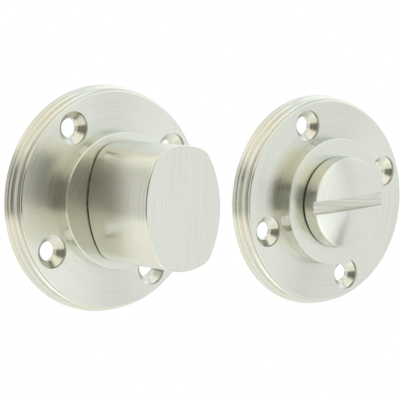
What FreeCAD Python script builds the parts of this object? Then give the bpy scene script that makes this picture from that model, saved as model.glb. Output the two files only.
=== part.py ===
import FreeCAD, Part
import math
import os
import Sketcher

# Bathroom thumb turn lock: the inside half with its thumb turn and the outside
# half with its coin release. Millimetres. Z is up, both turning axes run along Y,
# the door face is the plane Y = 0 and each half stands off it towards -Y.
# A "depth" is a distance from the door face, measured towards -Y.

os.makedirs("parts", exist_ok=True)
doc = FreeCAD.newDocument("bathroom_thumb_turn_lock")
sheet = doc.addObject("Spreadsheet::Sheet", "sizes")

# Driving sizes: name, value, meaning
SIZES = [
    ("land_width", 10.0, "width of the rose from its foot in to the boss"),
    ("rose_depth", 4.9, "depth of the flat face of the rose"),
    ("face_inset", 1.4, "inset of the flat face from the foot of the rose"),
    ("face_bevel", 0.2, "height of the bevel round the flat face"),
    ("step_one_depth", 1.2, "depth of the front of the first rim step"),
    ("step_two_inset", 0.2, "inset of the second rim step from the foot"),
    ("step_two_rise", 0.1, "slope up to the second rim step"),
    ("step_two_depth", 2.15, "depth of the front of the second rim step"),
    ("step_three_inset", 0.7, "inset of the third rim step from the foot"),
    ("step_three_rise", 0.4, "slope up to the third rim step"),
    ("step_three_depth", 3.9, "depth of the front of the third rim step"),
    ("step_four_inset", 1.2, "inset of the fourth rim step from the foot"),
    ("step_four_rise", 0.15, "slope up to the fourth rim step"),
    ("boss_radius", 15.0, "radius of the raised boss at its front edge"),
    ("boss_draft", 0.12, "extra radius of the boss where it meets the face"),
    ("boss_height", 3.9, "height of the boss over the flat face"),
    ("boss_edge", 0.3, "bevel on the front edge of the boss"),
    ("rim_wall", 3.2, "wall of the rim round the hollow in the back"),
    ("plate_thickness", 2.95, "thickness of the plate at the screw holes"),
    ("boss_wall", 2.4, "wall of the boss round its hollow"),
    ("boss_top", 2.7, "thickness of the front of the boss"),
    ("hub_wall", 2.0, "wall of the hub round the bush"),
    ("hub_depth", 3.8, "depth of the back end of the hub"),
    ("screw_inset", 4.05, "distance of a screw hole's centre from the boss"),
    ("screw_bore", 4.3, "diameter of a screw hole"),
    ("screw_sink", 7.3, "diameter of the sunk seat for a screw head"),
    ("sink_lip", 0.8, "depth of the straight lip round a sunk seat"),
    ("sink_angle", 120.0, "angle of the conical floor of a sunk seat"),
    ("turn_hole_turn", 36.4, "angle of the first hole, thumb turn rose"),
    ("release_hole_turn", 22.4, "angle of the first hole, release rose"),
    ("release_offset", 62.3, "distance between the two turning axes"),
    ("shank_radius", 5.0, "radius of the shanks"),
    ("shank_play", 0.05, "running clearance round a shank"),
    ("shank_edge", 0.3, "bevel on the back end of a shank"),
    ("bush_wall", 1.4, "wall of a bush sleeve"),
    ("bush_fit", 0.01, "clearance between a sleeve and its hub"),
    ("flange_width", 1.95, "width of a bush flange outside its sleeve"),
    ("flange_thickness", 1.0, "thickness of a bush flange"),
    ("flange_sink", 0.75, "depth of the recess for the bush flange"),
    ("flange_fit", 0.1, "clearance round a bush flange"),
    ("head_play", 0.05, "clearance between a flange and the head it carries"),
    ("clip_depth", 1.35, "depth of the back face of a circlip"),
    ("clip_thickness", 1.0, "thickness of a circlip"),
    ("clip_play", 0.05, "clearance each side of a circlip in its groove"),
    ("clip_groove_cut", 0.2, "depth of cut of the circlip groove"),
    ("clip_width", 1.8, "radial width of a circlip"),
    ("clip_gap", 2.6, "opening of a circlip"),
    ("clip_lug_radius", 1.45, "radius of a circlip lug"),
    ("clip_lug_reach", 1.95, "distance of a lug from the bottom of the groove"),
    ("clip_lug_hole", 0.75, "radius of the hole in a lug"),
    ("washer_width", 3.0, "reach of the flat and wave washers past the shank"),
    ("washer_play", 0.12, "clearance of a flat washer round the shank"),
    ("washer_thickness", 0.5, "thickness of a flat washer"),
    ("wave_play", 0.6, "clearance of a wave washer round the shank"),
    ("wave_sheet", 0.3, "thickness of the strip of a wave washer"),
    ("wave_gap", 0.03, "gap at the crests of a wave washer"),
    ("grip_radius", 13.3, "radius of the top and bottom of the grip"),
    ("grip_half_width", 9.6, "half the width of the grip at its front"),
    ("grip_flare", 0.1, "extra half width of the grip at its base"),
    ("grip_swell", 0.35, "extra half width of the grip at mid length"),
    ("grip_side_gain", 8.5, "excess of the radius of the grip's sides over its ends"),
    ("grip_corner", 4.0, "radius of the corners of the grip at its front"),
    ("grip_base_corner", 6.0, "radius of the corners of the grip at its base"),
    ("grip_front", 30.4, "depth of the front face of the grip"),
    ("grip_edge", 0.25, "bevel on the front edge of the grip"),
    ("grip_rest_turn", 4.9, "resting angle of the thumb turn"),
    ("disc_radius", 10.9, "radius of the release disc at its base"),
    ("disc_draft", 0.25, "taper of the release disc from its base to its rim"),
    ("disc_rim_depth", 12.9, "depth of the front rim of the release disc"),
    ("dome_rise", 0.9, "rise of the domed face of the release disc"),
    ("slot_width", 3.1, "width of the coin slot"),
    ("slot_depth", 2.2, "depth of the coin slot below the top of the dome"),
    ("slot_rest_turn", 7.0, "resting angle of the coin slot"),
    ("socket_width", 5.1, "width of the square spindle sockets"),
    ("turn_socket_depth", 16.0, "depth of the inner end of the socket, turn"),
    ("release_socket_depth", 9.4, "depth of the inner end of the socket, release"),
]
for row, (name, value, meaning) in enumerate(SIZES, start=1):
    sheet.set(f"A{row}", name)
    sheet.set(f"B{row}", str(value))
    sheet.set(f"C{row}", meaning)
    sheet.setAlias(f"B{row}", name)
doc.recompute()

# Depths and radii worked out from the driving sizes, as expressions on the sheet
BOSS_FRONT = "(sizes.rose_depth + sizes.boss_height)"
PLATE_BACK = "(sizes.rose_depth - sizes.plate_thickness)"
ROSE_RADIUS = "(sizes.boss_radius + sizes.land_width)"
FACE_RADIUS = f"({ROSE_RADIUS} - sizes.face_inset)"
STEP_TWO = f"({ROSE_RADIUS} - sizes.step_two_inset)"
STEP_THREE = f"({ROSE_RADIUS} - sizes.step_three_inset)"
STEP_FOUR = f"({ROSE_RADIUS} - sizes.step_four_inset)"
HOLLOW = f"({ROSE_RADIUS} - sizes.rim_wall)"
SCREW_RING = "(sizes.boss_radius + sizes.screw_inset)"
GRIP_SIDE = "(sizes.grip_radius + sizes.grip_side_gain)"
SEAT = f"({BOSS_FRONT} - sizes.flange_sink)"
FLANGE_FRONT = f"({SEAT} + sizes.flange_thickness)"
HEAD_BASE = f"({FLANGE_FRONT} + sizes.head_play)"
SLEEVE_IN = "(sizes.shank_radius + sizes.shank_play)"
SLEEVE_OUT = f"({SLEEVE_IN} + sizes.bush_wall)"
FLANGE_RADIUS = f"({SLEEVE_OUT} + sizes.flange_width)"
HUB_BORE = f"({SLEEVE_OUT} + sizes.bush_fit)"
HUB_OUT = f"({HUB_BORE} + sizes.hub_wall)"
CLIP_BACK = "sizes.clip_depth"
CLIP_FRONT = f"({CLIP_BACK} + sizes.clip_thickness)"
GROOVE_BACK = f"({CLIP_BACK} - sizes.clip_play)"
GROOVE_FRONT = f"({CLIP_FRONT} + sizes.clip_play)"
WASHER_FRONT = f"({CLIP_FRONT} + sizes.washer_thickness)"
CLIP_INNER = "(sizes.shank_radius - sizes.clip_groove_cut)"
CLIP_OUTER = f"({CLIP_INNER} + sizes.clip_width)"
LUG_CIRCLE = f"({CLIP_INNER} + sizes.clip_lug_reach)"
WASHER_INNER = "(sizes.shank_radius + sizes.washer_play)"
WASHER_OUTER = "(sizes.shank_radius + sizes.washer_width)"
WAVE_INNER = "(sizes.shank_radius + sizes.wave_play)"


def value(expression):
    """The present value of an expression on the sheet."""
    result = sheet.evalExpression(expression)
    return float(getattr(result, "Value", result))


def new_body(label):
    body = doc.addObject("PartDesign::Body", label)
    body.Label = label
    return body


def new_sketch(body, name, role, depth=None):
    """A sketch on one of the body's own planes, moved out by a depth."""
    sketch = body.newObject("Sketcher::SketchObject", name)
    planes = [o for o in body.Origin.OriginFeatures if o.Role == role]
    sketch.AttachmentSupport = [(planes[0], "")]
    sketch.MapMode = "FlatFace"
    if depth is not None:
        sketch.setExpression("AttachmentOffset.Base.z", depth)
    doc.recompute()
    return sketch


def bind(sketch, constraint, expression):
    """Add one dimension and tie it to the sheet."""
    index = sketch.addConstraint(constraint)
    sketch.setExpression(f"Constraints[{index}]", expression)


def pin(sketch, edge, end, across, along, downward):
    """Hold one end of an edge at a distance across and along from the origin."""
    if across is None:
        sketch.addConstraint(Sketcher.Constraint("PointOnObject", edge, end, -2))
    else:
        size = value(across)
        bind(sketch, Sketcher.Constraint("DistanceX", -1, 1, edge, end, size), across)
    if along is None:
        sketch.addConstraint(Sketcher.Constraint("PointOnObject", edge, end, -1))
    elif downward:
        size = value(along)
        bind(sketch, Sketcher.Constraint("DistanceY", edge, end, -1, 1, size), along)
    else:
        size = value(along)
        bind(sketch, Sketcher.Constraint("DistanceY", -1, 1, edge, end, size), along)


def turned_profile(body, name, points, domed=None):
    """Closed profile of (radius, depth) corners; the domed one starts an arc."""
    sketch = new_sketch(body, name, "XY_Plane")
    flat = []
    for radius, depth in points:
        x = 0.0 if radius is None else value(radius)
        y = 0.0 if depth is None else -value(depth)
        flat.append(FreeCAD.Vector(x, y, 0))
    count = len(flat)
    starts = []
    for i, here in enumerate(flat):
        ahead = flat[(i + 1) % count]
        if i == domed:
            sag = here.y - ahead.y
            radius = (ahead.x ** 2 + sag ** 2) / (2 * abs(sag))
            centre = FreeCAD.Vector(0, here.y + radius, 0)
            circle = Part.Circle(centre, FreeCAD.Vector(0, 0, 1), radius)
            a0 = math.atan2(here.y - centre.y, here.x - centre.x)
            a1 = math.atan2(ahead.y - centre.y, ahead.x - centre.x)
            edge = sketch.addGeometry(Part.ArcOfCircle(circle, a0, a1), False)
            sketch.addConstraint(Sketcher.Constraint("PointOnObject", edge, 3, -2))
        else:
            edge = sketch.addGeometry(Part.LineSegment(here, ahead), False)
        starts.append(edge)
    for i, edge in enumerate(starts):
        ahead = starts[(i + 1) % count]
        sketch.addConstraint(Sketcher.Constraint("Coincident", edge, 2, ahead, 1))
    for edge, (radius, depth) in zip(starts, points):
        pin(sketch, edge, 1, radius, depth, True)
    doc.recompute()
    return sketch


def turned(body, name, points, domed=None):
    """A solid of revolution about the Y axis."""
    sketch = turned_profile(body, name + "_profile", points, domed)
    feature = body.newObject("PartDesign::Revolution", name)
    feature.Profile = sketch
    feature.ReferenceAxis = (sketch, ["V_Axis"])
    feature.Angle = 360
    sketch.Visibility = False
    doc.recompute()
    return feature


def place(thing, offset=None, turn=None):
    """Move a piece along X and turn it about its own axis."""
    if turn is not None:
        axis = FreeCAD.Vector(0, -1, 0)
        rotation = FreeCAD.Rotation(axis, value(turn))
        thing.Placement = FreeCAD.Placement(FreeCAD.Vector(0, 0, 0), rotation)
        thing.setExpression("Placement.Rotation.Angle", turn)
    if offset is not None:
        thing.setExpression("Placement.Base.x", offset)


def rectangle(sketch, half_width, low, high):
    """A box lying even about the vertical axis; low and high are heights."""
    a = value(half_width)
    corners = [(-a, -value(low)), (a, -value(low)), (a, value(high)), (-a, value(high))]
    lines = []
    for i, (x, y) in enumerate(corners):
        x2, y2 = corners[(i + 1) % 4]
        line = Part.LineSegment(FreeCAD.Vector(x, y, 0), FreeCAD.Vector(x2, y2, 0))
        lines.append(sketch.addGeometry(line, False))
    for i in range(4):
        ahead = lines[(i + 1) % 4]
        sketch.addConstraint(Sketcher.Constraint("Coincident", lines[i], 2, ahead, 1))
        kind = "Horizontal" if i % 2 == 0 else "Vertical"
        sketch.addConstraint(Sketcher.Constraint(kind, lines[i]))
    size = value(low)
    bind(sketch, Sketcher.Constraint("DistanceX", -1, 1, lines[2], 1, a), half_width)
    bind(sketch, Sketcher.Constraint("DistanceX", lines[0], 1, -1, 1, a), half_width)
    bind(sketch, Sketcher.Constraint("DistanceY", lines[0], 1, -1, 1, size), low)
    size = value(high)
    bind(sketch, Sketcher.Constraint("DistanceY", -1, 1, lines[2], 1, size), high)
    doc.recompute()


# Rose: a pressed plate with a reeded rim, hollow behind, a round boss with a
# hub for the bush, and four screw holes, each with a sunk conical seat
def make_rose(label, offset, turn):
    body = new_body(label)
    boss_hollow = "(sizes.boss_radius - sizes.boss_wall)"
    boss_back = f"({BOSS_FRONT} - sizes.boss_top)"
    recess = f"({FLANGE_RADIUS} + sizes.flange_fit)"
    turned(body, label + "_plate", [
        (HUB_BORE, SEAT),
        (recess, SEAT),
        (recess, BOSS_FRONT),
        ("sizes.boss_radius - sizes.boss_edge", BOSS_FRONT),
        ("sizes.boss_radius", f"{BOSS_FRONT} - sizes.boss_edge"),
        ("sizes.boss_radius + sizes.boss_draft", "sizes.rose_depth"),
        (FACE_RADIUS, "sizes.rose_depth"),
        (STEP_FOUR, "sizes.rose_depth - sizes.face_bevel"),
        (STEP_FOUR, "sizes.step_three_depth + sizes.step_four_rise"),
        (STEP_THREE, "sizes.step_three_depth"),
        (STEP_THREE, "sizes.step_two_depth + sizes.step_three_rise"),
        (STEP_TWO, "sizes.step_two_depth"),
        (STEP_TWO, "sizes.step_one_depth + sizes.step_two_rise"),
        (ROSE_RADIUS, "sizes.step_one_depth"),
        (ROSE_RADIUS, None),
        (HOLLOW, None),
        (HOLLOW, PLATE_BACK),
        (boss_hollow, PLATE_BACK),
        (boss_hollow, boss_back),
        (HUB_OUT, boss_back),
        (HUB_OUT, "sizes.hub_depth"),
        (HUB_BORE, "sizes.hub_depth"),
    ])
    sketch = new_sketch(body, label + "_hole_centre", "XZ_Plane", "sizes.rose_depth")
    centre = FreeCAD.Vector(value(SCREW_RING), 0, 0)
    normal = FreeCAD.Vector(0, 0, 1)
    bore = value("sizes.screw_bore / 2")
    ring = sketch.addGeometry(Part.Circle(centre, normal, bore), False)
    pin(sketch, ring, 3, SCREW_RING, None, False)
    bind(sketch, Sketcher.Constraint("Radius", ring, bore), "sizes.screw_bore / 2")
    doc.recompute()
    hole = body.newObject("PartDesign::Hole", label + "_screw_hole")
    hole.Profile = sketch
    doc.recompute()
    hole.ThreadType = "None"
    hole.DepthType = "ThroughAll"
    hole.HoleCutType = "Counterdrill"
    hole.HoleCutCustomValues = True
    hole.setExpression("Diameter", "sizes.screw_bore")
    hole.setExpression("HoleCutDiameter", "sizes.screw_sink")
    hole.setExpression("HoleCutDepth", "sizes.sink_lip")
    hole.setExpression("HoleCutCountersinkAngle", "sizes.sink_angle")
    doc.recompute()
    pattern = body.newObject("PartDesign::PolarPattern", label + "_four_holes")
    pattern.Originals = [hole]
    pattern.Axis = (sketch, ["N_Axis"])
    pattern.Angle = 360
    pattern.Occurrences = 4
    body.Tip = pattern
    place(body, offset, turn)
    doc.recompute()
    return body


# Bush: a flanged nylon sleeve that carries the shank in the hub
def make_bush(label, offset):
    body = new_body(label)
    turned(body, label + "_sleeve", [
        (SLEEVE_IN, "sizes.hub_depth"),
        (SLEEVE_OUT, "sizes.hub_depth"),
        (SLEEVE_OUT, SEAT),
        (FLANGE_RADIUS, SEAT),
        (FLANGE_RADIUS, FLANGE_FRONT),
        (SLEEVE_IN, FLANGE_FRONT),
    ])
    place(body, offset)
    doc.recompute()
    return body


# Flat washer between the circlip and the wave washer
def make_washer(label, offset):
    body = new_body(label)
    turned(body, label + "_ring", [
        (WASHER_INNER, CLIP_FRONT),
        (WASHER_OUTER, CLIP_FRONT),
        (WASHER_OUTER, WASHER_FRONT),
        (WASHER_INNER, WASHER_FRONT),
    ])
    place(body, offset)
    doc.recompute()
    return body


# Wave washer: a ring of spring strip with three crests towards the hub and
# three towards the flat washer, which holds the turn where it is left
def make_wave_washer(label, offset):
    back = value(WASHER_FRONT) + value("sizes.wave_gap")
    front = value("sizes.hub_depth") - value("sizes.wave_gap")
    strip = value("sizes.wave_sheet")
    swing = (front - back - strip) / 2
    middle = (front + back - strip) / 2
    edges = []
    for radius in (value(WAVE_INNER), value(WASHER_OUTER)):
        points = []
        for step in range(24):
            angle = math.radians(15 * step)
            depth = middle + swing * math.cos(3 * angle)
            x = radius * math.cos(angle)
            z = radius * math.sin(angle)
            points.append(FreeCAD.Vector(x, -depth, z))
        curve = Part.BSplineCurve()
        curve.interpolate(points, PeriodicFlag=True)
        edges.append(curve.toShape())
    surface = Part.makeRuledSurface(edges[0], edges[1])
    solid = surface.extrude(FreeCAD.Vector(0, -strip, 0))
    thing = doc.addObject("Part::Feature", label)
    thing.Label = label
    thing.Shape = solid
    place(thing, offset)
    doc.recompute()
    return thing


# Circlip: a spring steel ring with two pierced lugs, snapped in the shank groove
def make_circlip(label, offset):
    body = new_body(label)
    normal = FreeCAD.Vector(0, 0, 1)
    origin = FreeCAD.Vector(0, 0, 0)
    sketch = new_sketch(body, label + "_ring_outline", "XZ_Plane", CLIP_BACK)
    for size in (CLIP_OUTER, CLIP_INNER):
        radius = value(size)
        ring = sketch.addGeometry(Part.Circle(origin, normal, radius), False)
        sketch.addConstraint(Sketcher.Constraint("Coincident", ring, 3, -1, 1))
        bind(sketch, Sketcher.Constraint("Radius", ring, radius), size)
    pad = body.newObject("PartDesign::Pad", label + "_ring")
    pad.Profile = sketch
    pad.setExpression("Length", "sizes.clip_thickness")
    doc.recompute()
    lean = f"(asin((sizes.clip_gap / 2 + sizes.clip_lug_radius) / {LUG_CIRCLE}))"
    for side, sign in (("left", -1), ("right", 1)):
        for kind, size in (("lug", "clip_lug_radius"), ("eye", "clip_lug_hole")):
            name = f"{label}_{side}_{kind}"
            sketch = new_sketch(body, name + "_outline", "XZ_Plane", CLIP_BACK)
            reach = "(sizes.clip_gap / 2 + sizes.clip_lug_radius)"
            drop = f"({LUG_CIRCLE} * cos{lean})"
            centre = FreeCAD.Vector(sign * value(reach), -value(drop), 0)
            radius = value("sizes." + size)
            ring = sketch.addGeometry(Part.Circle(centre, normal, radius), False)
            ends = (-1, 1, ring, 3) if sign > 0 else (ring, 3, -1, 1)
            bind(sketch, Sketcher.Constraint("DistanceX", *ends, value(reach)), reach)
            ends = (ring, 3, -1, 1)
            bind(sketch, Sketcher.Constraint("DistanceY", *ends, value(drop)), drop)
            bind(sketch, Sketcher.Constraint("Radius", ring, radius), "sizes." + size)
            if kind == "lug":
                feature = body.newObject("PartDesign::Pad", name)
                feature.Profile = sketch
                feature.setExpression("Length", "sizes.clip_thickness")
            else:
                feature = body.newObject("PartDesign::Pocket", name)
                feature.Profile = sketch
                feature.Type = "ThroughAll"
                feature.Midplane = True
            doc.recompute()
    sketch = new_sketch(body, label + "_opening_outline", "XZ_Plane", CLIP_BACK)
    half = "(sizes.clip_gap / 2)"
    deep = f"({LUG_CIRCLE} + 2 * sizes.clip_lug_radius)"
    rectangle(sketch, half, deep, "(sizes.clip_gap / 2)")
    feature = body.newObject("PartDesign::Pocket", label + "_opening")
    feature.Profile = sketch
    feature.Type = "ThroughAll"
    feature.Midplane = True
    doc.recompute()
    place(body, offset)
    doc.recompute()
    return body


# Shank corners from the head back to the bevelled end, with the clip groove
def shank_corners(front):
    return [
        ("sizes.shank_radius", front),
        ("sizes.shank_radius", GROOVE_FRONT),
        (CLIP_INNER, GROOVE_FRONT),
        (CLIP_INNER, GROOVE_BACK),
        ("sizes.shank_radius", GROOVE_BACK),
        ("sizes.shank_radius", "sizes.shank_edge"),
        ("sizes.shank_radius - sizes.shank_edge", None),
        (None, None),
    ]


# Square socket for the spindle, cut from the back end of a shank
def cut_socket(body, label, depth):
    sketch = new_sketch(body, label + "_socket_outline", "XZ_Plane")
    half = "(sizes.socket_width / 2)"
    rectangle(sketch, half, half, half)
    pocket = body.newObject("PartDesign::Pocket", label + "_socket")
    pocket.Profile = sketch
    pocket.Reversed = True
    pocket.setExpression("Length", depth)
    doc.recompute()
    return pocket


# Outline of the grip: round top and bottom, bulged sides, rounded corners
def grip_outline(body, name, depth, half_width, corner_size):
    sketch = new_sketch(body, name, "XZ_Plane", depth)
    big = value("sizes.grip_radius")
    side = value(GRIP_SIDE)
    corner = value(corner_size)
    shift = side - value(half_width)
    # Corner centre: where circles of the shrunken radii cross
    r1 = big - corner
    r2 = side - corner
    cx = (r1 ** 2 - r2 ** 2 + shift ** 2) / (2 * shift) * -1
    cz = math.sqrt(r1 ** 2 - cx ** 2)
    normal = FreeCAD.Vector(0, 0, 1)
    origin = FreeCAD.Vector(0, 0, 0)

    def arc(centre, radius, start, end):
        circle = Part.Circle(centre, normal, radius)
        return sketch.addGeometry(Part.ArcOfCircle(circle, start, end), False)

    lean = math.atan2(cz, cx)
    flat = math.atan2(cz, cx + shift)
    point = FreeCAD.Vector
    full = math.pi
    right = arc(point(-shift, 0, 0), side, -flat, flat)
    upper_right = arc(point(cx, cz, 0), corner, flat, lean)
    top = arc(origin, big, lean, full - lean)
    upper_left = arc(point(-cx, cz, 0), corner, full - lean, full - flat)
    left = arc(point(shift, 0, 0), side, full - flat, full + flat)
    lower_left = arc(point(-cx, -cz, 0), corner, full + flat, full + lean)
    bottom = arc(origin, big, full + lean, 2 * full - lean)
    lower_right = arc(point(cx, -cz, 0), corner, 2 * full - lean, 2 * full - flat)
    loop = [right, upper_right, top, upper_left, left, lower_left, bottom, lower_right]
    for i, edge in enumerate(loop):
        ahead = loop[(i + 1) % 8]
        sketch.addConstraint(Sketcher.Constraint("Tangent", edge, 2, ahead, 1))
    for edge in (top, bottom):
        sketch.addConstraint(Sketcher.Constraint("Coincident", edge, 3, -1, 1))
        bind(sketch, Sketcher.Constraint("Radius", edge, big), "sizes.grip_radius")
    size = f"({GRIP_SIDE} - {half_width})"
    for edge, ends in ((right, (right, 3, -1, 1)), (left, (-1, 1, left, 3))):
        sketch.addConstraint(Sketcher.Constraint("PointOnObject", edge, 3, -1))
        bind(sketch, Sketcher.Constraint("DistanceX", *ends, shift), size)
        bind(sketch, Sketcher.Constraint("Radius", edge, side), GRIP_SIDE)
    for edge in (upper_right, upper_left, lower_left, lower_right):
        bind(sketch, Sketcher.Constraint("Radius", edge, corner), corner_size)
    doc.recompute()
    return sketch


# Thumb turn: a barrel-shaped grip with a round shank behind it
def make_turn(label):
    body = new_body(label)
    deep = f"{HEAD_BASE} + 1"
    turned(body, label + "_shank", [(None, deep)] + shank_corners(deep))
    middle = f"({HEAD_BASE} + sizes.grip_front) / 2"
    half_base = "(sizes.grip_half_width + sizes.grip_flare)"
    half_middle = "(sizes.grip_half_width + sizes.grip_swell)"
    half_front = "sizes.grip_half_width"
    round_corner = "sizes.grip_base_corner"
    half_corner = "((sizes.grip_base_corner + sizes.grip_corner) / 2)"
    base = grip_outline(body, label + "_base", HEAD_BASE, half_base, round_corner)
    swollen = grip_outline(body, label + "_middle", middle, half_middle, half_corner)
    front = grip_outline(
        body, label + "_front", "sizes.grip_front", half_front, "sizes.grip_corner")
    loft = body.newObject("PartDesign::AdditiveLoft", label + "_grip")
    loft.Profile = base
    loft.Sections = [swollen, front]
    doc.recompute()
    limit = -value("sizes.grip_front") + 0.01
    names = []
    for index, edge in enumerate(loft.Shape.Edges, start=1):
        if edge.BoundBox.YMax < limit:
            names.append(f"Edge{index}")
    bevel = body.newObject("PartDesign::Chamfer", label + "_front_edge")
    bevel.Base = (loft, names)
    bevel.setExpression("Size", "sizes.grip_edge")
    doc.recompute()
    cut_socket(body, label, "sizes.turn_socket_depth")
    place(body, None, "sizes.grip_rest_turn")
    doc.recompute()
    return body


# Release: a low-domed disc with a coin slot from rim to rim and the same shank
def make_release(label, offset):
    body = new_body(label)
    top = "(sizes.disc_rim_depth + sizes.dome_rise)"
    corners = [
        (None, top),
        ("sizes.disc_radius - sizes.disc_draft", "sizes.disc_rim_depth"),
        ("sizes.disc_radius", HEAD_BASE),
    ]
    corners += shank_corners(HEAD_BASE)
    turned(body, label + "_head", corners, domed=0)
    sketch = new_sketch(body, label + "_slot_outline", "XZ_Plane", top)
    across = "(sizes.slot_width / 2)"
    rectangle(sketch, "(sizes.disc_radius + 1)", across, across)
    slot = body.newObject("PartDesign::Pocket", label + "_coin_slot")
    slot.Profile = sketch
    slot.setExpression("Length", "sizes.slot_depth")
    doc.recompute()
    cut_socket(body, label, "sizes.release_socket_depth")
    place(body, offset, "sizes.slot_rest_turn")
    doc.recompute()
    return body


OFFSET = "sizes.release_offset"
pieces = [
    make_rose("turn_rose", None, "sizes.turn_hole_turn"),
    make_bush("turn_bush", None),
    make_turn("turn_knob"),
    make_wave_washer("turn_wave_washer", None),
    make_washer("turn_washer", None),
    make_circlip("turn_circlip", None),
    make_rose("release_rose", OFFSET, "sizes.release_hole_turn"),
    make_bush("release_bush", OFFSET),
    make_release("release_disc", OFFSET),
    make_wave_washer("release_wave_washer", OFFSET),
    make_washer("release_washer", OFFSET),
    make_circlip("release_circlip", OFFSET),
]

# Every feature must be sound before anything is written
doc.recompute()
for thing in doc.Objects:
    if "Invalid" in thing.State or "Error" in thing.State:
        raise RuntimeError(f"{thing.Label} is not sound: {thing.State}")
for piece in pieces:
    shape = piece.Shape
    if shape.isNull() or not shape.isValid() or len(shape.Solids) != 1:
        raise RuntimeError(f"{piece.Label} has no sound single solid")
    shape.exportStep(f"parts/{piece.Label}.step")
    box = shape.BoundBox
    spans = [box.XMin, box.XMax, box.YMin, box.YMax, box.ZMin, box.ZMax]
    print(piece.Label, round(shape.Volume, 3), [round(v, 3) for v in spans])
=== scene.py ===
import math

import bmesh
import bpy
from mathutils import Matrix, Vector


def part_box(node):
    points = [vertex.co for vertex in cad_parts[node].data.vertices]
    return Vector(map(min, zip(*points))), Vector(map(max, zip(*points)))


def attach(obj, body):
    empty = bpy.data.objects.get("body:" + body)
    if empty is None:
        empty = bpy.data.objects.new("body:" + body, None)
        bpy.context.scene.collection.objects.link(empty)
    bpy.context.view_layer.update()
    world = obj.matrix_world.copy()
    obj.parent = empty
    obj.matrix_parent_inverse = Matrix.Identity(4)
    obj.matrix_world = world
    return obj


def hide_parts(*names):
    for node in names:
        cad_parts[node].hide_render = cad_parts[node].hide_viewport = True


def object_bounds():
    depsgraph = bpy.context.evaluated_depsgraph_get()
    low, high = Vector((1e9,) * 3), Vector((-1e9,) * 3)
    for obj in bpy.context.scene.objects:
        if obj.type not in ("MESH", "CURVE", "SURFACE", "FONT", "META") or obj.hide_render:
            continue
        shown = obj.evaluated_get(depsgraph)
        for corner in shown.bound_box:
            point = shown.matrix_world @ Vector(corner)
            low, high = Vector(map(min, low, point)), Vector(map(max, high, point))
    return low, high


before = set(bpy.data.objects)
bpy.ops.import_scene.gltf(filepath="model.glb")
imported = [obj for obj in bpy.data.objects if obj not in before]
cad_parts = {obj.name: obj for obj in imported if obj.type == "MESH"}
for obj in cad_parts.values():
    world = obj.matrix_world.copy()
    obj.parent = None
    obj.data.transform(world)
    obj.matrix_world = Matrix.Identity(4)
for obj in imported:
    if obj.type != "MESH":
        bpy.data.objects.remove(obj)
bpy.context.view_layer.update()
MM = 0.001


# The two round roses: cast brass plates with a reeded rim and a raised boss,
# turned on a lathe and plated in satin nickel, so their brush marks run in
# rings round the axis. Four sunk holes take the screws to the door.
AXIS_X = {
    "turn": (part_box("turn_rose")[0].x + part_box("turn_rose")[1].x) / 2,
    "release": (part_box("release_rose")[0].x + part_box("release_rose")[1].x) / 2,
}
NICKEL = "#DBDFD7"
NICKEL_WORN = "#CCCFC5"
NOISE_RANGE = (0.3, 0.7)  # nearly all the values of a noise lie between these
GRAIN_HEIGHT = 0.02 * MM
SHEEN_SPREAD = 0.04  # roughness goes up and down this much between the marks
RING_SPACING_MM = 0.4  # real rings are 0.05 mm apart, drawn coarser to show
RING_LENGTH_MM = 40.0
HAND_BRUSHED_FROM_MM = 8.6  # the boss faces were brushed by hand, after the lathe
STROKE_LEAN = math.radians(54)
STROKE_SPACING_MM = 0.3  # real strokes are 0.1 mm apart, drawn coarser to show
STROKE_LENGTH_MM = 14.0
SMOOTH_BELOW = math.radians(30)
WELD = 0.001 * MM
ROUND_STEPS = 4
TURNED_SEGMENTS = 224
HOLE_SEGMENTS = 48
PATH_RADIUS = 1.0 * MM
ROSE_MM = {
    "foot": 25.0, "second": 24.8, "third": 24.3, "fourth": 23.8, "face": 23.6,
    "boss": 15.0, "boss foot": 15.12, "recess": 8.5, "bore": 6.46, "hub": 8.46,
    "hollow": 21.8, "boss hollow": 12.6,
}
DEPTH_MM = {
    "foot": 1.2, "second foot": 1.3, "second": 2.15, "third foot": 2.55, "third": 3.9,
    "fourth foot": 4.05, "fourth": 4.7, "face": 4.9, "plate": 1.95,
    "boss": 8.8, "seat": 8.05, "boss back": 6.1, "hub": 3.8,
}
ROUNDING_MM = {
    "lip": 0.06, "bore": 0.1, "step": 0.12, "face": 0.15, "hollow": 0.2, "boss": 0.3}
HOLE_COUNT = 4
HOLE_CIRCLE_MM = 19.05
HOLE_MM = {"bore": 2.15, "seat": 3.65}
HOLE_DEPTH_MM = {"bore": 3.23, "seat": 4.1, "above": 5.4}
FIRST_HOLE = {"turn": math.radians(36.4), "release": math.radians(22.4)}


def linear(hex_colour):
    """An sRGB hex value as a linear colour with alpha."""
    channels = [int(hex_colour[i : i + 2], 16) / 255 for i in (1, 3, 5)]
    curve = [c / 12.92 if c <= 0.04045 else ((c + 0.055) / 1.055) ** 2.4 for c in channels]
    return (*curve, 1.0)


def add_node(tree, kind, settings=None, links=None):
    """Add a node; settings are properties or input values, links are sockets."""
    node = tree.nodes.new(kind)
    for key, value in (settings or {}).items():
        if isinstance(key, str) and hasattr(node, key):
            setattr(node, key, value)
        else:
            node.inputs[key].default_value = value
    for key, socket in (links or {}).items():
        tree.links.new(socket, node.inputs[key])
    return node


def new_material(name):
    """An empty material with its tree and output."""
    material = bpy.data.materials.new(name)
    material.use_nodes = True
    tree = material.node_tree
    tree.nodes.clear()
    output = tree.nodes.new("ShaderNodeOutputMaterial")
    return material, tree, output


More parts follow.
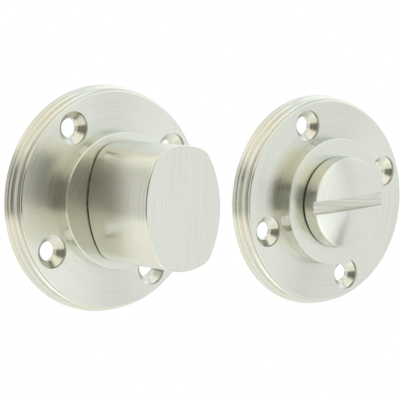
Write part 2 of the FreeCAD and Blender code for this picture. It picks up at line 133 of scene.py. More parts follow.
def brushed_metal(tree, output, colours, grain_place, lay, finish):
    """Metal with fine marks: noise along grain_place, highlights across lay.

    A finish is its roughness, its anisotropy and how deep its grain looks."""
    roughness, anisotropy, grain = finish
    lines = add_node(
        tree, "ShaderNodeTexNoise", {"Scale": 1.0, "Detail": 3.0, "Roughness": 0.6},
        {"Vector": grain_place})
    tone = add_node(
        tree, "ShaderNodeMix",
        {"data_type": "RGBA", 6: linear(colours[0]), 7: linear(colours[1])},
        {0: lines.outputs["Fac"]})
    rough = add_node(
        tree, "ShaderNodeMapRange",
        {"From Min": NOISE_RANGE[0], "From Max": NOISE_RANGE[1],
         "To Min": roughness - SHEEN_SPREAD, "To Max": roughness + SHEEN_SPREAD},
        {"Value": lines.outputs["Fac"]})
    relief = add_node(
        tree, "ShaderNodeBump", {"Strength": grain, "Distance": GRAIN_HEIGHT},
        {"Height": lines.outputs["Fac"]})
    along = add_node(
        tree, "ShaderNodeVectorTransform",
        {"vector_type": "VECTOR", "convert_from": "OBJECT", "convert_to": "WORLD"}, {0: lay})
    surface = add_node(
        tree, "ShaderNodeBsdfPrincipled",
        {"Metallic": 1.0, "Anisotropic": anisotropy, "Anisotropic Rotation": 0.25},
        {"Base Color": tone.outputs[2], "Roughness": rough.outputs[0],
         "Normal": relief.outputs[0], "Tangent": along.outputs[0]})
    tree.links.new(surface.outputs[0], output.inputs["Surface"])


def turned_nickel(name, finish, hand_brushed=False):
    """Satin nickel brushed in rings round the axis each surface was turned on.

    Where it is hand brushed, the boss faces have straight leaning strokes instead."""
    material, tree, output = new_material(name)
    place = add_node(tree, "ShaderNodeAttribute", {"attribute_name": "turned"})
    axes = add_node(tree, "ShaderNodeSeparateXYZ", None, {0: place.outputs["Vector"]})
    flat = add_node(
        tree, "ShaderNodeCombineXYZ", None,
        {"X": axes.outputs["X"], "Z": axes.outputs["Z"]})
    radius = add_node(
        tree, "ShaderNodeVectorMath", {"operation": "LENGTH"}, {0: flat.outputs[0]})
    across = add_node(
        tree, "ShaderNodeMath", {"operation": "ADD"},
        {0: radius.outputs["Value"], 1: axes.outputs["Y"]})
    stretched = add_node(
        tree, "ShaderNodeVectorMath", {"operation": "SCALE", "Scale": 1 / (RING_LENGTH_MM * MM)},
        {0: flat.outputs[0]})
    rings = add_node(
        tree, "ShaderNodeMath", {"operation": "MULTIPLY", 1: 1 / (RING_SPACING_MM * MM)},
        {0: across.outputs[0]})
    lift = add_node(tree, "ShaderNodeCombineXYZ", None, {"Y": rings.outputs[0]})
    grain_place = add_node(
        tree, "ShaderNodeVectorMath", {"operation": "ADD"},
        {0: stretched.outputs[0], 1: lift.outputs[0]}).outputs[0]
    lay = add_node(
        tree, "ShaderNodeVectorMath", {"operation": "CROSS_PRODUCT", 1: (0, 1, 0)},
        {0: flat.outputs[0]}).outputs[0]
    if hand_brushed:
        in_front = add_node(
            tree, "ShaderNodeMath",
            {"operation": "LESS_THAN", 1: -HAND_BRUSHED_FROM_MM * MM},
            {0: axes.outputs["Y"]})
        slanted = add_node(
            tree, "ShaderNodeVectorRotate",
            {"rotation_type": "Y_AXIS", "Angle": STROKE_LEAN},
            {"Vector": place.outputs["Vector"]})
        strokes = add_node(
            tree, "ShaderNodeMapping",
            {"Scale": (1 / (STROKE_LENGTH_MM * MM), 0, 1 / (STROKE_SPACING_MM * MM))},
            {"Vector": slanted.outputs[0]})
        grain_place = add_node(
            tree, "ShaderNodeMix", {"data_type": "VECTOR"},
            {0: in_front.outputs[0], 4: grain_place, 5: strokes.outputs[0]}).outputs[1]
        lay = add_node(
            tree, "ShaderNodeMix",
            {"data_type": "VECTOR", 5: (math.cos(STROKE_LEAN), 0, math.sin(STROKE_LEAN))},
            {0: in_front.outputs[0], 4: lay}).outputs[1]
    brushed_metal(tree, output, (NICKEL, NICKEL_WORN), grain_place, lay, finish)
    return material


def rounded(corners):
    """Corners of (radius, depth, rounding) in mm as a list of profile points."""
    points = []
    for i, (r, d, rounding) in enumerate(corners):
        here = Vector((r, d))
        if not rounding:
            points.append(here)
            continue
        before = (Vector(corners[i - 1][:2]) - here).normalized()
        after = (Vector(corners[(i + 1) % len(corners)][:2]) - here).normalized()
        half_angle = before.angle(after) / 2
        reach = rounding / math.tan(half_angle)
        centre = here + (before + after).normalized() * (rounding / math.sin(half_angle))
        start = here + before * reach - centre
        sweep = (here + after * reach - centre).angle_signed(start)
        for step in range(ROUND_STEPS + 1):
            turned = start.copy()
            turned.rotate(Matrix.Rotation(sweep * step / ROUND_STEPS, 2))
            points.append(centre + turned)
    return points


def profile_object(name, points):
    """A closed outline of (radius, depth) points as an object for a tree to spin."""
    mesh = bpy.data.meshes.new(name)
    edges = [(i, (i + 1) % len(points)) for i in range(len(points))]
    mesh.from_pydata([(p.x * MM, -p.y * MM, 0) for p in points], edges, [])
    outline = bpy.data.objects.new(name, mesh)
    bpy.context.scene.collection.objects.link(outline)
    outline.hide_render = True
    return outline


def new_tree(name, sockets):
    """A geometry tree with a geometry in and out and the named inputs."""
    tree = bpy.data.node_groups.new(name, "GeometryNodeTree")
    for kind, label in [("Geometry", "Geometry"), *sockets]:
        tree.interface.new_socket(label, in_out="INPUT", socket_type="NodeSocket" + kind)
    tree.interface.new_socket("Geometry", in_out="OUTPUT", socket_type="NodeSocketGeometry")
    return tree, tree.nodes.new("NodeGroupInput").outputs, tree.nodes.new("NodeGroupOutput")


def grown(name, outline, tree, values):
    """The plain mesh that a tree makes of an outline with these input values."""
    grow = outline.modifiers.new("grow", "NODES")
    grow.node_group = tree
    for item in tree.interface.items_tree:
        if item.in_out == "INPUT" and item.name in values:
            grow[item.identifier] = values[item.name]
    outline.update_tag()
    graph = bpy.context.evaluated_depsgraph_get()
    mesh = bpy.data.meshes.new_from_object(outline.evaluated_get(graph))
    mesh.name = name
    while mesh.materials[0] is None:
        mesh.materials.pop(index=0)
    bpy.data.objects.remove(outline)
    return mesh


def finished(name, mesh):
    """A piece of this mesh, shaded smooth with crisp edges."""
    mesh.shade_smooth()
    mesh.set_sharp_from_angle(angle=SMOOTH_BELOW)
    blank = bpy.data.objects.new(name + "_blank", mesh)
    bpy.context.scene.collection.objects.link(blank)
    even = blank.modifiers.new("even", "WEIGHTED_NORMAL")
    even.keep_sharp = True
    even.weight = 100
    graph = bpy.context.evaluated_depsgraph_get()
    final = bpy.data.meshes.new_from_object(blank.evaluated_get(graph))
    final.name = name
    bpy.data.objects.remove(blank)
    piece = bpy.data.objects.new(name, final)
    bpy.context.scene.collection.objects.link(piece)
    return piece


def fit(piece, node, body):
    """Put a finished piece in the place of its CAD node."""
    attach(piece, body)
    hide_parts(node)


turned_tree, given, output = new_tree("turned solid", [("Int", "Segments")])
inward = add_node(
    turned_tree, "GeometryNodeTransform", {"Translation": (-PATH_RADIUS, 0, 0)},
    {"Geometry": given["Geometry"]})
outline = add_node(turned_tree, "GeometryNodeMeshToCurve", None, {"Mesh": inward.outputs[0]})
path = add_node(
    turned_tree, "GeometryNodeCurvePrimitiveCircle", {"Radius": PATH_RADIUS},
    {"Resolution": given["Segments"]})
spun = add_node(
    turned_tree, "GeometryNodeCurveToMesh", None,
    {"Curve": path.outputs[0], "Profile Curve": outline.outputs[0]})
facing = add_node(
    turned_tree, "GeometryNodeTransform", {"Rotation": (math.pi / 2, 0, 0)},
    {"Geometry": spun.outputs[0]})
closed = add_node(
    turned_tree, "GeometryNodeMergeByDistance", {"Distance": WELD},
    {"Geometry": facing.outputs[0]})
spot = add_node(turned_tree, "GeometryNodeInputPosition")
marked = add_node(
    turned_tree, "GeometryNodeStoreNamedAttribute",
    {"data_type": "FLOAT_VECTOR", "domain": "CORNER", "Name": "turned"},
    {"Geometry": closed.outputs[0], "Value": spot.outputs[0]})
turned_tree.links.new(marked.outputs[0], output.inputs[0])

rose_tree, given, output = new_tree("rose", [
    ("Int", "Segments"), ("Int", "Hole Segments"), ("Int", "Hole Count"),
    ("Float", "Hole Circle"), ("Vector", "First Hole"), ("Object", "Hole Outline"),
    ("Vector", "Place"), ("Material", "Nickel")])
body = add_node(
    rose_tree, "GeometryNodeGroup", {"node_tree": turned_tree},
    {"Geometry": given["Geometry"], "Segments": given["Segments"]})
hole_outline = add_node(
    rose_tree, "GeometryNodeObjectInfo", None, {"Object": given["Hole Outline"]})
hole = add_node(
    rose_tree, "GeometryNodeGroup", {"node_tree": turned_tree},
    {"Geometry": hole_outline.outputs["Geometry"], "Segments": given["Hole Segments"]})
circle = add_node(
    rose_tree, "GeometryNodeMeshCircle", None,
    {"Vertices": given["Hole Count"], "Radius": given["Hole Circle"]})
spots = add_node(
    rose_tree, "GeometryNodeTransform", None,
    {"Geometry": circle.outputs[0], "Rotation": given["First Hole"]})
holes = add_node(
    rose_tree, "GeometryNodeInstanceOnPoints", None,
    {"Points": spots.outputs[0], "Instance": hole.outputs[0]})
drills = add_node(
    rose_tree, "GeometryNodeRealizeInstances", None, {"Geometry": holes.outputs[0]})
drilled = add_node(
    rose_tree, "GeometryNodeMeshBoolean", {"operation": "DIFFERENCE", "solver": "EXACT"},
    {"Mesh 1": body.outputs[0], "Mesh 2": drills.outputs[0]})
moved = add_node(
    rose_tree, "GeometryNodeTransform", None,
    {"Geometry": drilled.outputs[0], "Translation": given["Place"]})
real = add_node(rose_tree, "GeometryNodeRealizeInstances", None, {"Geometry": moved.outputs[0]})
plated = add_node(
    rose_tree, "GeometryNodeSetMaterial", None,
    {"Geometry": real.outputs[0], "Material": given["Nickel"]})
rose_tree.links.new(plated.outputs[0], output.inputs[0])

r, d, rounding = ROSE_MM, DEPTH_MM, ROUNDING_MM
rose_profile = rounded([
    (r["bore"], d["seat"], 0), (r["recess"], d["seat"], 0),
    (r["recess"], d["boss"], rounding["bore"]), (r["boss"], d["boss"], rounding["boss"]),
    (r["boss foot"], d["face"], 0), (r["face"], d["face"], rounding["face"]),
    (r["fourth"], d["fourth"], rounding["lip"]), (r["fourth"], d["fourth foot"], 0),
    (r["third"], d["third"], rounding["step"]), (r["third"], d["third foot"], 0),
    (r["second"], d["second"], rounding["step"]), (r["second"], d["second foot"], 0),
    (r["foot"], d["foot"], rounding["step"]), (r["foot"], 0, rounding["bore"]),
    (r["hollow"], 0, rounding["bore"]), (r["hollow"], d["plate"], rounding["boss"]),
    (r["boss hollow"], d["plate"], rounding["hollow"]),
    (r["boss hollow"], d["boss back"], rounding["boss"]),
    (r["hub"], d["boss back"], rounding["boss"]), (r["hub"], d["hub"], rounding["face"]),
    (r["bore"], d["hub"], 0),
])
r, d = HOLE_MM, HOLE_DEPTH_MM
hole_profile = rounded([
    (0, d["above"], 0), (r["seat"], d["above"], 0), (r["seat"], d["seat"], 0),
    (r["bore"], d["bore"], 0), (r["bore"], 0, 0), (0, 0, 0)])
# Satin nickel: pale and a little green, with a sheen drawn out across the rings.
rose_nickel = turned_nickel(
    "satin nickel, lathe-brushed, roses", (0.24, 0.88, 0.07), hand_brushed=True)
for half in ("turn", "release"):
    name = f"{half}_rose_plated"
    drill = profile_object("hole outline", hole_profile)
    mesh = grown(name, profile_object(name + "_outline", rose_profile), rose_tree, {
        "Segments": TURNED_SEGMENTS, "Hole Segments": HOLE_SEGMENTS,
        "Hole Count": HOLE_COUNT, "Hole Circle": HOLE_CIRCLE_MM * MM,
        "First Hole": (math.pi / 2, -FIRST_HOLE[half], 0), "Hole Outline": drill,
        "Place": (AXIS_X[half], 0, 0), "Nickel": rose_nickel})
    bpy.data.objects.remove(drill)
    fit(finished(name, mesh), f"{half}_rose", "roses")


# The thumb turn: a solid brass grip with swelling sides and a flat front, on a
# round shank with a square socket behind, plated satin nickel. Its sides were
# belt-brushed round the grip and its front from top to bottom.
LAY_RADIUS = 12 * MM
BELT_LINE_MM = 0.5  # real lines are 0.1 mm apart, drawn coarser to show
BELT_LINE_LENGTH_MM = 16.0
GRIP_DEPTH_MM = {"base": 9.1, "front": 30.4}
GRIP_HALF_WIDTH_MM = (9.7, 9.95, 9.78)  # at the base, halfway and at the front
GRIP_CORNER_MM = (6.0, 4.0)  # at the base and at the front
GRIP_END_RADIUS_MM = 13.3
GRIP_SIDE_RADIUS_MM = 21.8
GRIP_EDGE_MM = {"foot": 0.4, "front": 0.3}
GRIP_TURN = math.radians(4.9)
GRIP_ROWS = 28
EDGE_ROWS = 6
GRIP_STEPS = {"side": 24, "corner": 14, "end": 16}
SHANK_MM = {"radius": 5.0, "groove": 4.8, "lead": 0.3}
CLIP_GROOVE_MM = (1.3, 2.4)
SOCKET_MM = {"width": 5.1, "depth": 9.4}
X_AXIS, Z_AXIS = 0, 2


def straight_metal(name, along_axis, colours, finish):
    """Metal brushed straight, along one axis of the lock."""
    material, tree, output = new_material(name)
    place = add_node(tree, "ShaderNodeTexCoord")
    scale = [1 / (BELT_LINE_MM * MM)] * 3
    scale[along_axis] = 1 / (BELT_LINE_LENGTH_MM * MM)
    stretched = add_node(
        tree, "ShaderNodeMapping", {"Scale": scale}, {"Vector": place.outputs["Object"]})
    line = add_node(tree, "ShaderNodeCombineXYZ", {along_axis: 1.0})
    brushed_metal(tree, output, colours, stretched.outputs[0], line.outputs[0], finish)
    return material


def grip_outline(half_width, inset, corner):
    """Points in mm round the grip: flat-arched sides, rounded corners, round ends."""
    side, end = GRIP_SIDE_RADIUS_MM - inset, GRIP_END_RADIUS_MM - inset
    corner -= inset
    shift = side - (half_width - inset)
    near, far = end - corner, side - corner
    centre_x = (far ** 2 - near ** 2 - shift ** 2) / (2 * shift)
    centre_z = math.sqrt(near ** 2 - centre_x ** 2)
    lean = math.atan2(centre_z, centre_x)
    flat = math.atan2(centre_z, centre_x + shift)
    arcs = [
        ((-shift, 0), side, -flat, flat, "side"),
        ((centre_x, centre_z), corner, flat, lean, "corner"),
        ((0, 0), end, lean, math.pi - lean, "end"),
        ((-centre_x, centre_z), corner, math.pi - lean, math.pi - flat, "corner")]
    half = []
    for (x, z), radius, first, last, part in arcs:
        for step in range(GRIP_STEPS[part]):
            angle = first + (last - first) * step / GRIP_STEPS[part]
            half.append(Vector((x + radius * math.cos(angle), z + radius * math.sin(angle))))
    return half + [-point for point in half]


def round_row(radius, bearings):
    """The points of a circle in these directions."""
    return [Vector((radius * math.cos(a), radius * math.sin(a))) for a in bearings]


def square_row(width, bearings):
    """The points of a square in these directions, its corners on the nearest four."""
    points = []
    for bearing in bearings:
        reach = width / 2 / max(abs(math.cos(bearing)), abs(math.sin(bearing)))
        points.append(Vector((math.cos(bearing), math.sin(bearing))) * reach)
    for quarter in range(4):
        corner = Vector((width / 2, width / 2))
        corner.rotate(Matrix.Rotation(quarter * math.pi / 2, 2))
        nearest = min(range(len(points)), key=lambda i: (points[i] - corner).length)
        points[nearest] = corner
    return points


foot_edge, front_edge = GRIP_EDGE_MM["foot"], GRIP_EDGE_MM["front"]
base, front = GRIP_DEPTH_MM["base"], GRIP_DEPTH_MM["front"]
side_start, side_end = base + foot_edge, front - front_edge
start, middle, end = GRIP_HALF_WIDTH_MM
foot_corner, front_corner = GRIP_CORNER_MM
rows = []
for step in range(EDGE_ROWS):
    angle = math.pi / 2 * step / EDGE_ROWS
    inset = foot_edge * (1 - math.sin(angle))
    depth = base + foot_edge * (1 - math.cos(angle))
    rows.append((depth, grip_outline(start, inset, foot_corner)))
for step in range(GRIP_ROWS + 1):
    depth = side_start + (side_end - side_start) * step / GRIP_ROWS
    share = (depth - side_start) / (front - side_start)
    half_width = (start * (1 - share) * (1 - 2 * share) + 4 * middle * share * (1 - share)
                  + end * share * (2 * share - 1))
    corner = foot_corner + (front_corner - foot_corner) * share
    rows.append((depth, grip_outline(half_width, 0, corner)))
for step in range(1, EDGE_ROWS + 1):
    angle = math.pi / 2 * step / EDGE_ROWS
    inset = front_edge * (1 - math.cos(angle))
    depth = front - front_edge * (1 - math.sin(angle))
    rows.append((depth, grip_outline(end, inset, front_corner)))
bearings = [math.atan2(point.y, point.x) for point in rows[0][1]]
back_of_groove, front_of_groove = CLIP_GROOVE_MM
shank = round_row(SHANK_MM["radius"], bearings)
groove = round_row(SHANK_MM["groove"], bearings)
socket = square_row(SOCKET_MM["width"], bearings)
rows = [
    (SOCKET_MM["depth"], socket), (0, socket),
    (0, round_row(SHANK_MM["radius"] - SHANK_MM["lead"], bearings)),
    (SHANK_MM["lead"], shank), (back_of_groove, shank), (back_of_groove, groove),
    (front_of_groove, groove), (front_of_groove, shank), (base, shank)] + rows
around = len(bearings)
turn_in_plane = Matrix.Rotation(GRIP_TURN, 2)
points = []
for depth, row in rows:
    for point in row:
        spot = point.copy()
        spot.rotate(turn_in_plane)
        points.append((spot.x * MM, -depth * MM, spot.y * MM))
faces = []
for row in range(len(rows) - 1):
    for step in range(around):
        low, beside = row * around + step, row * around + (step + 1) % around
        faces.append((low, beside, beside + around, low + around))
faces.append(tuple(reversed(range(around))))
faces.append(tuple(range((len(rows) - 1) * around, len(rows) * around)))
mesh = bpy.data.meshes.new("turn_knob_plated")
mesh.from_pydata(points, [], faces)
work = bmesh.new()
work.from_mesh(mesh)
bmesh.ops.recalc_face_normals(work, faces=work.faces)
work.to_mesh(mesh)
work.free()
lay = mesh.attributes.new("turned", "FLOAT_VECTOR", "CORNER")
for corner, entry in zip(mesh.loops, lay.data):
    spot = mesh.vertices[corner.vertex_index].co
    bearing = math.atan2(spot.z, spot.x)
    entry.vector = (LAY_RADIUS * math.cos(bearing), spot.y, LAY_RADIUS * math.sin(bearing))
# The same nickel, on the sides with reflections drawn out along the grip and on the
# flat front with an even, dull shine.
mesh.materials.append(turned_nickel("satin nickel, belt-brushed sides", (0.22, 0.85, 0.05)))
mesh.materials.append(straight_metal(
    "satin nickel, belt-brushed front", Z_AXIS, (NICKEL, NICKEL_WORN), (0.2, 0.8, 0.05)))
mesh.polygons[-1].material_index = 1
fit(finished("turn_knob_plated", mesh), "turn_knob", "turn")


# The coin release: a low-domed disc turned and brushed in rings like the roses,
# with the same shank behind it, and a slot milled right across its face.
DISC_MM = {"foot": 10.9, "rim": 10.65}
DISC_DEPTH_MM = {"foot": 9.1, "rim edge": 12.87, "rim": 12.9, "top": 13.8}
SLOT_MM = {"width": 3.1, "depth": 1.5}
SLOT_TURN = math.radians(7.0)
CUT_LENGTH_MM = 30.0
CUT_MARGIN_MM = 1.0
DOME_EDGE_MM = 0.25
DISC_EDGE_MM = {"rim": 0.18, "foot": 0.4}
DOME_STEPS = 24
# The slot's pale line colour is lighter than the nickel: painted light against the shade in the
# slot; the dark one is the cutter's lines.
MILLED_PAINTED_LIGHT = "#F0F2EA"
MILLED_WORN = "#A9A998"

disc_tree, given, output = new_tree("slotted disc", [
    ("Int", "Segments"), ("Vector", "Slot Size"), ("Vector", "Slot Place"),
    ("Vector", "Socket Size"), ("Vector", "Socket Place"), ("Vector", "Turn"),
    ("Vector", "Place"), ("Material", "Nickel"), ("Material", "Milled Nickel")])
body = add_node(
    disc_tree, "GeometryNodeGroup", {"node_tree": turned_tree},
    {"Geometry": given["Geometry"], "Segments": given["Segments"]})
cutters = add_node(disc_tree, "GeometryNodeJoinGeometry")
for part in ("Slot", "Socket"):
    box = add_node(
        disc_tree, "GeometryNodeMeshCube", None, {"Size": given[part + " Size"]})
    set_in = add_node(
        disc_tree, "GeometryNodeTransform", None,
        {"Geometry": box.outputs[0], "Translation": given[part + " Place"]})
    disc_tree.links.new(set_in.outputs[0], cutters.inputs[0])
turned_to = add_node(
    disc_tree, "GeometryNodeTransform", None,
    {"Geometry": cutters.outputs[0], "Rotation": given["Turn"]})
milling = add_node(
    disc_tree, "GeometryNodeStoreNamedAttribute",
    {"data_type": "BOOLEAN", "domain": "FACE", "Name": "milled", "Value": True},
    {"Geometry": turned_to.outputs[0]})
slotted = add_node(
    disc_tree, "GeometryNodeMeshBoolean", {"operation": "DIFFERENCE", "solver": "EXACT"},
    {"Mesh 1": body.outputs[0], "Mesh 2": milling.outputs[0]})
moved = add_node(
    disc_tree, "GeometryNodeTransform", None,
    {"Geometry": slotted.outputs[0], "Translation": given["Place"]})
real = add_node(disc_tree, "GeometryNodeRealizeInstances", None, {"Geometry": moved.outputs[0]})
plated = add_node(
    disc_tree, "GeometryNodeSetMaterial", None,
    {"Geometry": real.outputs[0], "Material": given["Nickel"]})
is_milled = add_node(
    disc_tree, "GeometryNodeInputNamedAttribute", {"data_type": "BOOLEAN", "Name": "milled"})
milled = add_node(
    disc_tree, "GeometryNodeSetMaterial", None,
    {"Geometry": plated.outputs[0], "Selection": is_milled.outputs["Attribute"],
     "Material": given["Milled Nickel"]})
disc_tree.links.new(milled.outputs[0], output.inputs[0])

r, d, edge = DISC_MM, DISC_DEPTH_MM, DISC_EDGE_MM
rise = d["top"] - d["rim"]
dome_radius = (r["rim"] ** 2 + rise ** 2) / (2 * rise)
disc_profile = []
for step in range(DOME_STEPS):
    reach = (r["rim"] - DOME_EDGE_MM) * step / (DOME_STEPS - 1)
    drop = dome_radius - math.sqrt(dome_radius ** 2 - reach ** 2)
    disc_profile.append((reach, d["top"] - drop, 0))
disc_profile += [
    (r["rim"], d["rim edge"], edge["rim"]), (r["foot"], d["foot"], edge["foot"])]
thick, thin, lead = SHANK_MM["radius"], SHANK_MM["groove"], SHANK_MM["lead"]
disc_profile += [(radius, depth, 0) for radius, depth in (
    (thick, d["foot"]), (thick, front_of_groove), (thin, front_of_groove),
    (thin, back_of_groove), (thick, back_of_groove), (thick, lead),
    (thick - lead, 0), (0, 0))]
slot_height = SLOT_MM["depth"] + CUT_MARGIN_MM
slot_middle = DISC_DEPTH_MM["top"] - SLOT_MM["depth"] + slot_height / 2
socket_height = SOCKET_MM["depth"] + CUT_MARGIN_MM
socket_middle = SOCKET_MM["depth"] - socket_height / 2
# The same nickel again, finer and brighter on the dome, and in the slot with the light and dark
# lines that the cutter left along it, the light lines paler than the nickel itself as painted
# light that lifts the slot's floor against the shade between its walls.
disc_nickel = turned_nickel("satin nickel, lathe-brushed disc", (0.19, 0.9, 0.03))
slot_nickel_painted_light = straight_metal(
    "satin nickel, milled slot", X_AXIS, (MILLED_PAINTED_LIGHT, MILLED_WORN), (0.24, 0.8, 0.3))
mesh = grown(
    "release_disc_plated", profile_object("disc outline", rounded(disc_profile)), disc_tree, {
        "Segments": TURNED_SEGMENTS,
        "Slot Size": (CUT_LENGTH_MM * MM, slot_height * MM, SLOT_MM["width"] * MM),
        "Slot Place": (0, -slot_middle * MM, 0),
        "Socket Size": (SOCKET_MM["width"] * MM, socket_height * MM, SOCKET_MM["width"] * MM),
        "Socket Place": (0, -socket_middle * MM, 0),
        "Turn": (0, -SLOT_TURN, 0), "Place": (AXIS_X["release"], 0, 0),
        "Nickel": disc_nickel, "Milled Nickel": slot_nickel_painted_light})
fit(finished("release_disc_plated", mesh), "release_disc", "release")


# Inside each boss, seen only from the back: a nylon bush that the shank turns
# in, a spring steel wave washer, a zinc plated flat washer and a circlip.
CAD_WELD = 0.0005 * MM
MOTTLE_MM = 10 / 7
MOTTLE_SPREAD = 0.06


def merged_copy(node):
    """The merged mesh of a CAD node, without the facets' own normals."""
    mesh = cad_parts[node].data.copy()
    if "custom_normal" in mesh.attributes:
        mesh.attributes.remove(mesh.attributes["custom_normal"])
    work = bmesh.new()
    work.from_mesh(mesh)
    bmesh.ops.remove_doubles(work, verts=work.verts, dist=CAD_WELD)
    work.to_mesh(mesh)
    work.free()
    for polygon in mesh.polygons:
        polygon.material_index = 0
    return mesh


def plain_surface(name, colour, metallic, roughness):
    """A smooth material with a faint mottle in its shine."""
    material, tree, output = new_material(name)
    place = add_node(tree, "ShaderNodeTexCoord")
    mottle = add_node(
        tree, "ShaderNodeTexNoise", {"Scale": 1 / (MOTTLE_MM * MM), "Detail": 3.0},
        {"Vector": place.outputs["Object"]})
    rough = add_node(
        tree, "ShaderNodeMapRange",
        {"From Min": NOISE_RANGE[0], "From Max": NOISE_RANGE[1],
         "To Min": roughness - MOTTLE_SPREAD, "To Max": roughness + MOTTLE_SPREAD},
        {"Value": mottle.outputs["Fac"]})
    relief = add_node(
        tree, "ShaderNodeBump", {"Strength": 0.2, "Distance": GRAIN_HEIGHT},
        {"Height": mottle.outputs["Fac"]})
    surface = add_node(
        tree, "ShaderNodeBsdfPrincipled",
        {"Metallic": metallic, "Base Color": linear(colour)},
        {"Roughness": rough.outputs[0], "Normal": relief.outputs[0]})
    tree.links.new(surface.outputs[0], output.inputs["Surface"])
    return material


# Nylon is cream and half dull, blackened spring steel dark with a low shine, and
# bright zinc a bluish silver.
nylon = plain_surface("nylon, moulded", "#E4E1D6", 0.0, 0.45)
spring_steel = plain_surface("spring steel, oil blackened", "#6A6A6C", 1.0, 0.38)
zinc_steel = plain_surface("steel, bright zinc plated", "#C9CBD0", 1.0, 0.3)
for half in ("turn", "release"):
    for node, name, material, body, slot in (
        ("bush", "bush_moulded", nylon, "roses", "nylon"),
        ("wave_washer", "wave_spring", spring_steel, "roses", "spring_steel"),
        ("washer", "flat_washer", zinc_steel, half, "zinc_steel"),
        ("circlip", "snap_ring", spring_steel, half, "spring_steel"),
    ):
        mesh = merged_copy(f"{half}_{node}")
        mesh.materials.clear()
        mesh.materials.append(material)
        fit(finished(f"{half}_{name}", mesh), f"{half}_{node}", body)


# Studio: a matt white board well below the lock and a white tent round it, open
# at the camera's left, where the room is darker and browner, with a bright strip
# in the opening. The tent's lower hem hangs a little lower at the left.
FLOOR_DROP = 300 * MM
FLOOR_SPAN = 800 * MM
FLOOR_WHITE = "#FBFBFB"
TENT_WHITE = "#FFFFFF"
RAMP_TOP = 2.0
ROOM_TINT = (1.0, 0.915, 0.78)
WHITE_FROM = 6  # the azimuth where the tent's own white begins
FAINT_TINT = {"from": -146, "to": -115, "share": 0.4}
TENT_ABOVE = [
    (-180, 1.0), (-140, 1.35), (-95, 1.4), (-55, 0.9), (-25, 1.3), (5, 1.3), (24, 1.3),
    (35, 0.9), (42, 0.9), (50, 1.25), (75, 1.4), (130, 1.6), (160, 1.0), (180, 1.0)]
TENT_AT_EYE_LEVEL = [
    (-180, 0.95), (-172, 0.9), (-161, 0.1), (-154, 0.1), (-145, 1.0), (-126, 1.08),
    (-113, 0.7), (-90, 0.5), (-75, 0.5), (-60, 0.05), (-45, 0.04), (-38, 1.35),
    (-31, 0.06), (-14, 0.06), (2, 0.65), (12, 1.0), (20, 1.4), (24, 1.5),
    (30, 1.2), (35, 1.02), (40, 0.96), (46, 1.05), (90, 1.0), (180, 0.97)]
TENT_BELOW = [
    (-180, 1.1), (-140, 1.3), (-75, 1.15), (-45, 1.2), (-20, 1.1), (0, 1.2), (14, 1.8),
    (22, 1.75), (31, 1.35), (35.5, 1.15), (37, 0.5), (39.5, 0.5), (42.5, 1.0), (60, 1.05),
    (180, 0.95)]
HEM_SLOPE = 0.06
EYE_LEVEL_LOW = (-0.2766, -0.1566)  # sines of the heights between which one level
EYE_LEVEL_HIGH = (0.28, 0.42)  # of the tent fades into the next

floor_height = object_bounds()[0].z - FLOOR_DROP
floor_mesh = bpy.data.meshes.new("floor")
half_span = FLOOR_SPAN / 2
corners = [(-half_span, -half_span), (half_span, -half_span),
           (half_span, half_span), (-half_span, half_span)]
floor_mesh.from_pydata([(x, y, floor_height) for x, y in corners], [], [(0, 1, 2, 3)])
floor = bpy.data.objects.new("floor", floor_mesh)
bpy.context.scene.collection.objects.link(floor)
floor_paint, tree, output = new_material("matt white board")
surface = add_node(tree, "ShaderNodeBsdfDiffuse", {"Color": linear(FLOOR_WHITE)})
tree.links.new(surface.outputs[0], output.inputs["Surface"])
floor_mesh.materials.append(floor_paint)

world = bpy.data.worlds.new("white tent")
bpy.context.scene.world = world
world.use_nodes = True
tree = world.node_tree
tree.nodes.clear()
output = tree.nodes.new("ShaderNodeOutputWorld")
place = add_node(tree, "ShaderNodeTexCoord")
axes = add_node(tree, "ShaderNodeSeparateXYZ", None, {0: place.outputs["Generated"]})
toward = add_node(
    tree, "ShaderNodeMath", {"operation": "MULTIPLY", 1: -1.0}, {0: axes.outputs["Y"]})
angle = add_node(
    tree, "ShaderNodeMath", {"operation": "ARCTAN2"},
    {0: axes.outputs["X"], 1: toward.outputs[0]})
way_round = add_node(
    tree, "ShaderNodeMath", {"operation": "MULTIPLY_ADD", 1: 1 / math.tau, 2: 0.5},
    {0: angle.outputs[0]})


def round_horizon(stops):
    """Tent brightness by azimuth: 0 is in front of the lock, -90 is at its left."""
    ramp = add_node(tree, "ShaderNodeValToRGB", None, {0: way_round.outputs[0]})
    ramp.color_ramp.interpolation = "EASE"
    elements = ramp.color_ramp.elements
    elements.remove(elements[0])
    for i, (azimuth, level) in enumerate(stops):
        place_on_ramp = (azimuth + 180) / 360
        element = elements[0] if i == 0 else elements.new(place_on_ramp)
        element.position = place_on_ramp
        tinted = 0 if azimuth > WHITE_FROM else 1
        if FAINT_TINT["from"] < azimuth < FAINT_TINT["to"]:
            tinted = FAINT_TINT["share"]
        shade = [level * (1 - tinted * (1 - tint)) / RAMP_TOP for tint in ROOM_TINT]
        element.color = (*shade, 1)
    return ramp


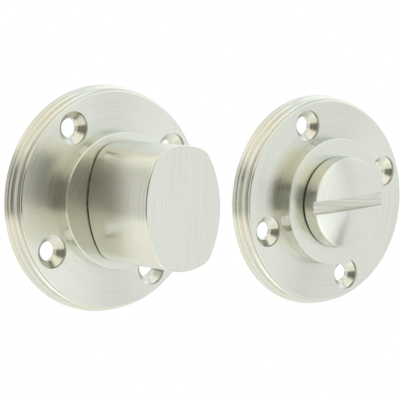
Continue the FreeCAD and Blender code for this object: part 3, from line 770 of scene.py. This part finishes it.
above = round_horizon(TENT_ABOVE)
at_eye_level = round_horizon(TENT_AT_EYE_LEVEL)
below = round_horizon(TENT_BELOW)
hem = add_node(
    tree, "ShaderNodeMath", {"operation": "MULTIPLY_ADD", 1: -HEM_SLOPE},
    {0: axes.outputs["X"], 2: axes.outputs["Z"]})
over_hem = add_node(
    tree, "ShaderNodeMapRange",
    {"interpolation_type": "SMOOTHSTEP",
     "From Min": EYE_LEVEL_LOW[0], "From Max": EYE_LEVEL_LOW[1]},
    {"Value": hem.outputs[0]})
lower = add_node(
    tree, "ShaderNodeMix", {"data_type": "RGBA"},
    {0: over_hem.outputs[0], 6: below.outputs["Color"], 7: at_eye_level.outputs["Color"]})
high = add_node(
    tree, "ShaderNodeMapRange",
    {"interpolation_type": "SMOOTHSTEP",
     "From Min": EYE_LEVEL_HIGH[0], "From Max": EYE_LEVEL_HIGH[1]},
    {"Value": axes.outputs["Z"]})
mixed = add_node(
    tree, "ShaderNodeMix", {"data_type": "RGBA"},
    {0: high.outputs[0], 6: lower.outputs[2], 7: above.outputs["Color"]})
level = add_node(
    tree, "ShaderNodeVectorMath", {"operation": "SCALE", "Scale": RAMP_TOP},
    {0: mixed.outputs[2]})
path = add_node(tree, "ShaderNodeLightPath")
shown = add_node(
    tree, "ShaderNodeMix", {"data_type": "RGBA", 7: linear(TENT_WHITE)},
    {0: path.outputs["Is Camera Ray"], 6: level.outputs[0]})
light = add_node(tree, "ShaderNodeBackground", None, {"Color": shown.outputs[2]})
tree.links.new(light.outputs[0], output.inputs["Surface"])

scene = bpy.context.scene
scene.view_settings.view_transform = "Standard"


# Camera: level with the lock, from its left, rolled a few degrees as the
# photograph was. The focal length is in pixels of the 400 pixel image.
IMAGE_WIDTH = 400
FOCAL_PIXELS = 2010.8
SENSOR_MM = 36.0
AIM = Vector((20.84, -9.0, 0.29)) * MM
DISTANCE = 449.3 * MM
AZIMUTH = math.radians(-37.97)
ELEVATION = math.radians(3.37)
ROLL = math.radians(2.9)
CLIP = (0.01, 100.0)
camera_data = bpy.data.cameras.new("camera")
camera_data.sensor_width = SENSOR_MM
camera_data.lens = FOCAL_PIXELS / IMAGE_WIDTH * SENSOR_MM
camera_data.clip_start, camera_data.clip_end = CLIP
camera = bpy.data.objects.new("camera", camera_data)
scene.collection.objects.link(camera)
back = Vector((
    math.sin(AZIMUTH) * math.cos(ELEVATION),
    -math.cos(AZIMUTH) * math.cos(ELEVATION),
    math.sin(ELEVATION),
))
right = (-back).cross(Vector((0, 0, 1))).normalized()
up = right.cross(-back)
level_right = right * math.cos(ROLL) + up * math.sin(ROLL)
level_up = up * math.cos(ROLL) - right * math.sin(ROLL)
turn = Matrix((level_right, level_up, back)).transposed().to_4x4()
camera.matrix_world = Matrix.Translation(AIM + back * DISTANCE) @ turn
scene.camera = camera
